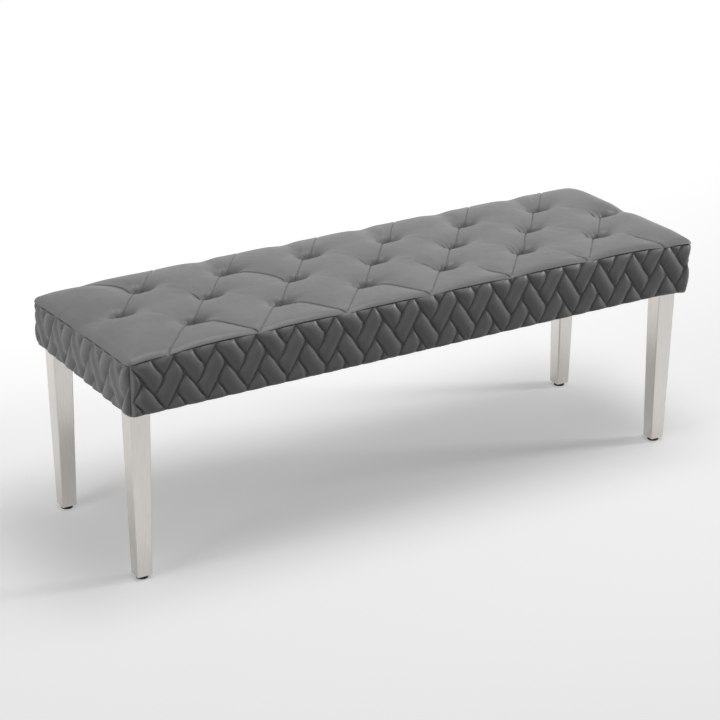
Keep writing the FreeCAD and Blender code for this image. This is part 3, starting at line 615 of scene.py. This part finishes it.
def swelling():
    """How far the leather swells from its sewn shape: places along both axes, and moves on that grid."""
    lines_x = np.linspace(-HALF_X, HALF_X, round(2 * HALF_X / SWELL_STEP) + 1)
    lines_y = np.linspace(-HALF_Y, HALF_Y, round(2 * HALF_Y / SWELL_STEP) + 1)
    x, y = np.meshgrid(lines_x, lines_y)
    grid = sewn_surface(x, y)
    points, faces = closed_top(grid, SWELL_TUCK, TOP_CLOSES)
    mesh = bpy.data.meshes.new("swelling")
    mesh.from_pydata(points.tolist(), [], faces)
    pad = bpy.data.objects.new("swelling", mesh)
    bpy.context.scene.collection.objects.link(pad)
    held = np.ones(len(points))
    held[:x.size] = held_share(x, y).ravel()
    group = pad.vertex_groups.new(name="held")
    for index, share in enumerate(held):
        group.add([index], share, "REPLACE")
    cloth = pad.modifiers.new("cloth", "CLOTH").settings
    cloth.vertex_group_mass = "held"
    cloth.use_pressure = True
    cloth.uniform_pressure_force = SWELL_PRESSURE
    cloth.effector_weights.gravity = 0
    scene = bpy.context.scene
    for number in range(1, SWELL_FRAMES + 1):
        scene.frame_set(number)
    swollen = pad.evaluated_get(bpy.context.evaluated_depsgraph_get()).data
    places = np.empty(len(swollen.vertices) * 3)
    swollen.vertices.foreach_get("co", places)
    bpy.data.objects.remove(pad)
    bpy.data.meshes.remove(mesh)
    scene.frame_set(1)
    moves = places.reshape(-1, 3)[:x.size].reshape(grid.shape) - grid
    length = np.linalg.norm(moves, axis=-1, keepdims=True)
    return lines_x, lines_y, moves * np.minimum(1, SWELL_CAP / np.maximum(length, SWELL_CAP))


def between(lines_x, lines_y, moves, x, y):
    """Moves of a coarse grid, read between its lines."""
    at_x = np.interp(x, lines_x, np.arange(len(lines_x)))
    at_y = np.interp(y, lines_y, np.arange(len(lines_y)))
    low_x = np.minimum(at_x.astype(int), len(lines_x) - 2)
    low_y = np.minimum(at_y.astype(int), len(lines_y) - 2)
    share_x, share_y = (at_x - low_x)[..., None], (at_y - low_y)[..., None]
    near = moves[low_y, low_x] * (1 - share_x) + moves[low_y, low_x + 1] * share_x
    far = moves[low_y + 1, low_x] * (1 - share_x) + moves[low_y + 1, low_x + 1] * share_x
    return near * (1 - share_y) + far * share_y


def tufted_surface():
    """Grid of points over the finished top: sewn, swollen, then creased."""
    x, y = np.meshgrid(rim_lines(HALF_X), rim_lines(HALF_Y))
    grid = sewn_surface(x, y) + between(*swelling(), x, y)
    depth = creases(x, lattice_y(y)) * np.minimum(1, VALLEY_AT_RIM + lift_of(x, y))
    out = np.cross(np.gradient(grid, axis=1), np.gradient(grid, axis=0))
    return grid - depth[..., None] * out / np.linalg.norm(out, axis=-1, keepdims=True)


def round_corners(x, y):
    """Grid with the square at each corner bent to a quarter disc."""
    over_x = np.clip(np.abs(x) - HALF_X + RIM_CORNER, 0, None)
    over_y = np.clip(np.abs(y) - HALF_Y + RIM_CORNER, 0, None)
    most = 2 * RIM_CORNER ** 2
    bent_x = over_x * np.sqrt(1 - over_y ** 2 / most)
    bent_y = over_y * np.sqrt(1 - over_x ** 2 / most)
    return x - np.sign(x) * (over_x - bent_x), y - np.sign(y) * (over_y - bent_y)


def closed_top(grid, tucks, floor):
    """Grid closed below: its rim turns under by steps (inset, drop) to a flat floor."""
    rows, columns = grid.shape[:2]
    at = np.arange(rows * columns).reshape(rows, columns)
    loop = np.concatenate([at[0, :-1], at[:-1, -1], at[-1, :0:-1], at[:0:-1, 0]])
    points = [grid.reshape(-1, 3)]
    faces = grid_quads(rows, columns)
    rim = points[0][loop]
    shrink = np.array([1 / HALF_X, 1 / HALF_Y])
    last, count = loop, rows * columns
    for inset, drop in tucks:
        under = rim.copy()
        under[:, :2] *= 1 - inset * shrink
        under[:, 2] -= drop
        here = np.arange(count, count + len(loop))
        faces += [[last[k], last[k - 1], here[k - 1], here[k]] for k in range(len(loop))]
        points.append(under)
        last, count = here, count + len(loop)
    points.append(np.array([[0.0, 0.0, floor]]))
    faces += fan(last[::-1].tolist(), count)
    return np.concatenate(points), faces


def make_top():
    """Tufted leather from seam to seam."""
    points, faces = closed_top(tufted_surface(), RIM_TUCK, TOP_CLOSES)
    piece = new_piece("tufted_leather_top", points, faces, MATERIALS["top_leather"])
    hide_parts("tufted_top")


# Quilted bands
def quilt(along, height, pattern):
    """Height of the herringbone puffs as a share, from 0 in the seams to 1."""
    slope, start = pattern["slope"], pattern["start"]
    off_x, off_z = along - start[0], height - start[1]
    level_x = off_x * math.cos(slope) + off_z * math.sin(slope)
    level_z = off_z * math.cos(slope) - off_x * math.sin(slope)
    up = (level_x / QUILT_X + level_z / QUILT_Z) / 2
    down = (level_x / QUILT_X - level_z / QUILT_Z) / 2
    cell_up, cell_down = np.floor(up), np.floor(down)
    kind = (cell_up + cell_down) % 4
    in_up = up - np.where(kind == 1, cell_up - 1, cell_up)
    in_down = down - np.where(kind == 3, cell_down - 1, cell_down)
    runs_up = kind < 2
    across = np.where(runs_up, in_down, in_up)
    lengthwise = np.where(runs_up, in_up, in_down) / 2
    wide = (1 - np.abs(2 * across - 1) ** PUFF_WIDE) ** PUFF_ROUND
    ends = (1 - np.abs(2 * lengthwise - 1) ** PUFF_ENDS) ** PUFF_ROUND
    return wide * ends


def band_rows(along, half, seam, pattern, sag):
    """Rows of a band's closed section, from the seam down and round.

    Each is how far out it lies, its height, and how far out the plain face lies there.
    """
    to_corner = half - np.abs(along)
    base = BAND_BASE - RIGHT_SAG * np.exp(-(half - sag * along) / RIGHT_SAG_REACH) * abs(sag)
    corner = BAND_CORNER * np.exp(-to_corner / BAND_CORNER_REACH)
    rows = []
    full = seam - base - BAND_FOOT_ROLL
    steps = np.linspace(SEAM_FINE, full.mean(), round(full.mean() / BAND_STEP)) / full.mean()
    for share in 1 - np.concatenate([np.arange(0, SEAM_FINE, SEAM_STEP) / full.mean(), steps]):
        above = full * share
        below, z = full - above, base + BAND_FOOT_ROLL + above
        foot = 1 - (1 - BAND_FOOT_PUFF) * np.exp(-above / BAND_CALM)
        calm = fade(below, SEAM_CALM) * fade(to_corner, BAND_CALM) * foot
        puff = pattern["puff"] * quilt(along, z - BAND_BASE, pattern) * calm
        face = BAND_FOOT_OUT + (BAND_TOP_OUT - BAND_FOOT_OUT) * share
        groove = GROOVE * np.exp(-(below / GROOVE_REACH) ** GROOVE_POWER)
        rows.append((face + puff - groove - corner, z, face))
    last_out, last_z, face = rows[-1]
    for turn in np.linspace(0, math.pi / 2, BAND_FOOT_STEPS + 1)[1:]:
        back, down = BAND_FOOT_ROLL * (1 - math.cos(turn)), BAND_FOOT_ROLL * math.sin(turn)
        rows.append((last_out - back, last_z - down, face - back))
    inner = np.full_like(along, -BAND_DEPTH)
    rows.append((inner, rows[-1][1], -BAND_DEPTH))
    rows.append((inner, seam - GROOVE, -BAND_DEPTH))
    return rows


def fade(distance, reach):
    """Share of the puff left near a sewn edge."""
    return 1 - np.exp(-distance / reach)


def make_band(name, node, turn_deg, half, outer, seam, pattern, sag=0):
    """Puffed strip, mitred at its ends, made as a front band and turned to its side.

    sag is the end where the bench's right front corner hangs a little lower: -1, 1 or 0 for none.
    """
    along = rim_lines(half, BAND_STEP)
    rows = band_rows(along, half, seam(along), pattern, sag)
    section = []
    for out, z, face in rows:
        mitred = along * (1 + (face - BAND_CORNER) / half)
        section.append(np.stack([mitred, -(outer + out), z], axis=1))
    grid = np.stack(section)
    count, columns = grid.shape[:2]
    at = np.arange(count * columns).reshape(count, columns)
    faces = grid_quads(count, columns)
    faces += [[at[-1, k], at[-1, k + 1], at[0, k + 1], at[0, k]] for k in range(columns - 1)]
    faces += fan(at[:, 0].tolist(), count * columns)
    faces += fan(at[::-1, -1].tolist(), count * columns + 1)
    points = np.concatenate([grid.reshape(-1, 3), [grid[:, 0].mean(axis=0), grid[:, -1].mean(axis=0)]])
    turned = points @ np.array(Matrix.Rotation(math.radians(turn_deg), 3, "Z")).T
    turned[:, 0] = grown(turned[:, 0])
    piece = new_piece(name, turned, [face[::-1] for face in faces], MATERIALS["band_leather"])
    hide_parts(node)


def make_bands():
    """Four bands; a band's own distance along runs to the right as seen from outside."""
    long_size, end_size = (BAND_OUTER_X, BAND_OUTER_Y), (BAND_OUTER_Y, BAND_OUTER_X)
    make_band("quilted_front", "front_band", 0, *long_size, lambda s: seam_long(s, -1), LONG_QUILT, sag=1)
    make_band("quilted_back", "back_band", 180, *long_size, lambda s: seam_long(-s, 1), LONG_QUILT)
    make_band("quilted_left", "left_band", -90, *end_size, lambda s: seam_end(-s, -1), END_QUILT)
    make_band("quilted_right", "right_band", 90, *end_size, lambda s: seam_end(s, 1), END_QUILT, sag=-1)


# Hidden and lower soft pieces
def make_foam():
    """Foam slab under the top, with soft edges and a pinch at every tuft."""
    low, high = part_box("seat_foam")
    span_x, span_y = high.x - FOAM_INSET, high.y - FOAM_INSET
    line_x = np.linspace(-span_x, span_x, round(2 * span_x / FOAM_STEP) + 1)
    line_y = np.linspace(-span_y, span_y, round(2 * span_y / FOAM_STEP) + 1)
    x, y = np.meshgrid(line_x, line_y)
    inside = np.minimum(span_x - np.abs(x), span_y - np.abs(y))
    soft = FOAM_EDGE * np.exp(-inside / FOAM_EDGE)
    z = high.z - FOAM_DROP - soft - np.minimum(tuft_hollows(x, y), FOAM_PINCH)
    drop = high.z - FOAM_DROP - FOAM_EDGE - low.z
    points, faces = closed_top(np.stack([x, y, z], axis=-1), [(0.0, drop)], low.z)
    piece = new_piece("foam_slab", points, faces, MATERIALS["foam"])
    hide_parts("seat_foam")


def make_dust_cover():
    """Cloth stapled under the rails, notched at the leg plates and sagging a little between them."""
    low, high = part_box("dust_cover")
    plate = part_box("leg_plate_front_left")[1]
    notch_x, notch_y = -plate.x + COVER_GAP, -plate.y + COVER_GAP
    line_x = cover_lines(high.x, notch_x)
    line_y = cover_lines(high.y, notch_y)
    x, y = np.meshgrid(line_x, line_y)
    free_x = np.clip(1 - (x / notch_x) ** 2, 0, 1)
    free_y = np.clip(1 - (y / (high.y - COVER_HEM)) ** 2, 0, 1)
    ripple = np.sin(x * RIPPLE_X) * np.sin(y * RIPPLE_Y + x * RIPPLE_SLANT)
    z = low.z + COVER_LIFT - (COVER_SAG + COVER_RIPPLE * ripple) * np.sqrt(free_x) * free_y
    quads = np.array(grid_quads(len(line_y), len(line_x)))
    middle_x, middle_y = (np.abs(axis.ravel()[quads].mean(axis=1)) for axis in (x, y))
    kept = quads[(middle_x < notch_x) | (middle_y < notch_y)]
    used = np.unique(kept)
    points = np.stack([x, y, z], axis=-1).reshape(-1, 3)[used]
    faces = np.searchsorted(used, kept)
    piece = new_piece("dust_cover_cloth", points, faces, MATERIALS["dust_cloth"])
    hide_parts("dust_cover")
    make_staples(high, notch_x, notch_y, low.z)


def cover_lines(half, notch):
    """Places along one axis of the cloth, with a line on each notch."""
    outer = np.linspace(notch, half, COVER_EDGE_LINES)
    inner = np.linspace(-notch, notch, round(2 * notch / COVER_STEP) + 1)
    return np.concatenate([-outer[:0:-1], inner, outer[1:]])


def make_staples(high, notch_x, notch_y, base):
    """Wire staples along the hem of the cloth."""
    spots = []
    reach_x, reach_y = notch_x - STAPLE_MARGIN, notch_y - STAPLE_MARGIN
    for side in (-1, 1):
        for x in np.linspace(-reach_x, reach_x, STAPLES_LONG):
            spots.append((x, side * (high.y - COVER_HEM), 0.0))
        for y in np.linspace(-reach_y, reach_y, STAPLES_END):
            spots.append((side * (high.x - COVER_HEM), y, math.pi / 2))
    shapes = []
    for x, y, turn in spots:
        points, faces = staple()
        points = points @ np.array(Matrix.Rotation(turn, 3, "Z")).T
        shapes.append((points + np.array([x, y, base]), faces))
    piece = new_piece("dust_cover_staples", *joined(shapes), MATERIALS["zinc_steel"])


def staple():
    """One staple: round wire bent to a U, its crown below and its legs up into the rail."""
    half, leg, bend = STAPLE_WIDTH / 2, STAPLE_LEG, STAPLE_WIRE
    path = [(-half, leg), (-half, bend)]
    for turn in np.linspace(0, math.pi / 2, STAPLE_BEND_STEPS + 1)[1:]:
        path.append((-half + bend * (1 - math.cos(turn)), bend * (1 - math.sin(turn))))
    path += [(-along, height) for along, height in path[::-1]]
    path = np.array(path)
    tangent = np.gradient(path, axis=0)
    tangent /= np.linalg.norm(tangent, axis=1, keepdims=True)
    normal = np.stack([-tangent[:, 1], tangent[:, 0]], axis=1)
    rings = []
    for (along, height), (out, up) in zip(path, normal):
        wire = []
        for angle in np.linspace(0, 2 * math.pi, STAPLE_SIDES, endpoint=False):
            aside, off = STAPLE_WIRE * math.cos(angle) / 2, STAPLE_WIRE * math.sin(angle) / 2
            wire.append((along + out * off, aside, height + up * off - STAPLE_WIRE / 2))
        rings.append(np.array(wire))
    return lathe(rings)


# Fasteners and feet
def make_leg_bolts():
    """Button-head bolts with six-sided sockets, three to a leg plate."""
    low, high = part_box("leg_bolts")
    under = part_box("leg_washers")[0].z
    head, shank, flat = BOLT_HEAD / 2, BOLT_SHANK / 2, BOLT_SOCKET * BOLT_FLAT
    socket = hexagon(BOLT_SOCKET)
    rings = [ring(socket, low.z + BOLT_SOCKET_DEPTH), ring(socket, low.z)]
    for turn in np.linspace(0, math.pi / 2, BOLT_DOME_STEPS + 1):
        rise = (under - low.z) * BOLT_DOME * (1 - math.cos(turn))
        rings.append(ring(flat + (head - flat) * math.sin(turn), low.z + rise))
    rings += [ring(head, under), ring(shank, under)]
    rings += [ring(shank, high.z - BOLT_CHAMFER), ring(shank - BOLT_CHAMFER, high.z)]
    points, faces = lathe(rings)
    shapes = []
    for corner in CORNERS:
        for x, y in bolt_spots(corner):
            shapes.append((points + np.array([x, y, 0.0]), faces))
    piece = new_piece("button_head_bolts", *joined(shapes), MATERIALS["zinc_steel"])
    piece.data.set_sharp_from_angle(angle=SHARP_EDGE)
    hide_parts("leg_bolts")


def bolt_spots(corner):
    """Places of the three bolts of a leg, along the two inner edges of its plate."""
    low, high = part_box(f"leg_plate_{corner}")
    side_x, side_y = math.copysign(1, low.x), math.copysign(1, low.y)
    inner_x = (low.x if side_x > 0 else high.x) + side_x * BOLT_EDGE
    inner_y = (low.y if side_y > 0 else high.y) + side_y * BOLT_EDGE
    outer_x, outer_y = inner_x + side_x * BOLT_SPACING, inner_y + side_y * BOLT_SPACING
    return [(inner_x, inner_y), (outer_x, inner_y), (inner_x, outer_y)]


def make_foot_stud(corner):
    """Levelling screw: plain tip, chamfered six-sided collar and rolled thread."""
    node = f"foot_stud_{corner}"
    low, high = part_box(node)
    pad_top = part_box(f"foot_pad_{corner}")[1].z
    plug_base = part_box(f"leg_plug_{corner}")[0].z
    tip, shank = STUD_TIP / 2, STUD_SHANK / 2
    corners = hexagon(STUD_COLLAR, turn=math.pi / 6)
    eased = np.minimum(corners, STUD_COLLAR / 2 + STUD_EASE)
    base, top = pad_top + STUD_PLAY, plug_base - STUD_PLAY
    rings = [ring(tip - STUD_CHAMFER, low.z), ring(tip, low.z + STUD_CHAMFER), ring(tip, base)]
    rings += [ring(eased, base), ring(corners, base + STUD_CHAMFER)]
    rings += [ring(corners, top - STUD_CHAMFER), ring(eased, top)]
    for z in np.arange(top, high.z - STUD_PITCH, STUD_PITCH / STUD_TURN_STEPS):
        wave = 0.5 + 0.5 * np.cos(2 * math.pi * z / STUD_PITCH - AROUND)
        rings.append(ring(shank - STUD_THREAD * wave, z))
    rings += [ring(shank - STUD_THREAD, high.z - STUD_END), ring(shank - 2 * STUD_THREAD, high.z)]
    centre = np.array([(low.x + high.x) / 2, (low.y + high.y) / 2, 0.0])
    points, faces = lathe(rings)
    name = f"levelling_stud_{corner}"
    piece = new_piece(name, points + centre, faces, MATERIALS["zinc_steel"], body=node)
    piece.data.set_sharp_from_angle(angle=SHARP_EDGE)
    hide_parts(node)


# Studio
def make_camera():
    """Camera at the photograph's angle and framing."""
    angles = (CAMERA_AZIMUTH, CAMERA_ELEVATION, CAMERA_ROLL)
    azimuth, elevation, roll = (math.radians(angle) for angle in angles)
    level = math.cos(elevation)
    back = Vector((math.sin(azimuth) * level, -math.cos(azimuth) * level, math.sin(elevation)))
    right = Vector((math.cos(azimuth), math.sin(azimuth), 0.0))
    up = back.cross(right)
    rolled_right = math.cos(roll) * right + math.sin(roll) * up
    rolled_up = math.cos(roll) * up - math.sin(roll) * right
    data = bpy.data.cameras.new("camera")
    data.sensor_width = CAMERA_SENSOR
    data.lens = CAMERA_LENS
    camera = bpy.data.objects.new("camera", data)
    camera.matrix_world = Matrix((rolled_right, rolled_up, back)).transposed().to_4x4()
    camera.location = CAMERA_PLACE
    bpy.context.scene.collection.objects.link(camera)
    bpy.context.scene.camera = camera


def seen_ray(tree):
    """1 for rays that show the studio: from the camera, off gloss and through glass."""
    path = tree.nodes.new("ShaderNodeLightPath").outputs
    total = path["Is Camera Ray"]
    for name in ("Is Glossy Ray", "Is Transmission Ray"):
        most = tree.nodes.new("ShaderNodeMath")
        most.operation = "MAXIMUM"
        tree.links.new(total, most.inputs[0])
        tree.links.new(path[name], most.inputs[1])
        total = most.outputs[0]
    return total


def make_world():
    """White where it is seen, a low even fill where it only lights."""
    world = bpy.data.worlds.new("studio")
    world.use_nodes = True
    tree = world.node_tree
    seen = tree.nodes["Background"]
    seen.inputs["Color"].default_value = (1, 1, 1, 1)
    seen.inputs["Strength"].default_value = 1.0
    even = tree.nodes.new("ShaderNodeBackground")
    even.inputs["Color"].default_value = (1, 1, 1, 1)
    even.inputs["Strength"].default_value = WORLD_FILL
    mix = tree.nodes.new("ShaderNodeMixShader")
    tree.links.new(seen_ray(tree), mix.inputs["Fac"])
    tree.links.new(even.outputs[0], mix.inputs[1])
    tree.links.new(seen.outputs[0], mix.inputs[2])
    tree.links.new(mix.outputs[0], tree.nodes["World Output"].inputs["Surface"])
    bpy.context.scene.world = world


def make_floor():
    """Pale floor that keeps the shadow and brightens away from the bench, as a studio sweep does."""
    signs = ((-1, -1), (1, -1), (1, 1), (-1, 1))
    corners = [(x * FLOOR_HALF, y * FLOOR_HALF, 0.0) for x, y in signs]
    mesh = bpy.data.meshes.new("floor")
    mesh.from_pydata(corners, [], [(0, 1, 2, 3)])
    material = bpy.data.materials.new("floor")
    material.use_nodes = True
    tree = material.node_tree
    tree.nodes.remove(tree.nodes["Principled BSDF"])
    matt = add_node(material, "ShaderNodeBsdfDiffuse", Color=FLOOR_SEEN)
    dim = add_node(material, "ShaderNodeBsdfDiffuse", Color=FLOOR_THROWN)
    where = add_node(material, "ShaderNodeTexCoord").outputs["Object"]
    depth = add_node(material, "ShaderNodeSeparateXYZ", Vector=where).outputs["Y"]
    length = add_node(material, "ShaderNodeVectorMath", {"operation": "LENGTH"}, Vector=where)
    away = length.outputs["Value"]
    lift = add_node(material, "ShaderNodeMath", {"operation": "MAXIMUM"})
    for socket, value, reach in zip(lift.inputs, (depth, away), FLOOR_LIFT_REACH):
        share = add_node(material, "ShaderNodeMapRange", Value=value, From_Min=reach[0], From_Max=reach[1],
                         To_Min=FLOOR_GLOW[0], To_Max=FLOOR_GLOW[1])
        tree.links.new(share.outputs["Result"], socket)
    glow = add_node(material, "ShaderNodeEmission", Strength=lift.outputs["Value"])
    both = add_node(material, "ShaderNodeAddShader")
    tree.links.new(matt.outputs[0], both.inputs[0])
    tree.links.new(glow.outputs[0], both.inputs[1])
    shown = add_node(material, "ShaderNodeMixShader")
    tree.links.new(seen_ray(tree), shown.inputs["Fac"])
    tree.links.new(dim.outputs[0], shown.inputs[1])
    tree.links.new(both.outputs[0], shown.inputs[2])
    tree.links.new(shown.outputs[0], tree.nodes["Material Output"].inputs["Surface"])
    mesh.materials.append(material)
    floor = bpy.data.objects.new("floor", mesh)
    bpy.context.scene.collection.objects.link(floor)


def make_softbox(name, place, size, power):
    """Rectangular area lamp aimed at the seat."""
    data = bpy.data.lights.new(name, "AREA")
    data.shape = "RECTANGLE"
    data.size, data.size_y = size
    data.energy = power
    lamp = bpy.data.objects.new(name, data)
    lamp.location = place
    lamp.rotation_mode = "QUATERNION"
    lamp.rotation_quaternion = (Vector(LAMP_TARGET) - Vector(place)).to_track_quat("-Z", "Y")
    bpy.context.scene.collection.objects.link(lamp)


def make_studio():
    """Camera, world, floor and lamps."""
    bpy.context.scene.view_settings.view_transform = "Standard"
    make_camera()
    make_world()
    make_floor()
    for name, lamp in LAMPS.items():
        make_softbox(name, **lamp)


dress_nodes()
make_top()
make_bands()
make_foam()
make_dust_cover()
make_leg_bolts()
for corner_name in CORNERS:
    make_foot_stud(corner_name)
make_studio()
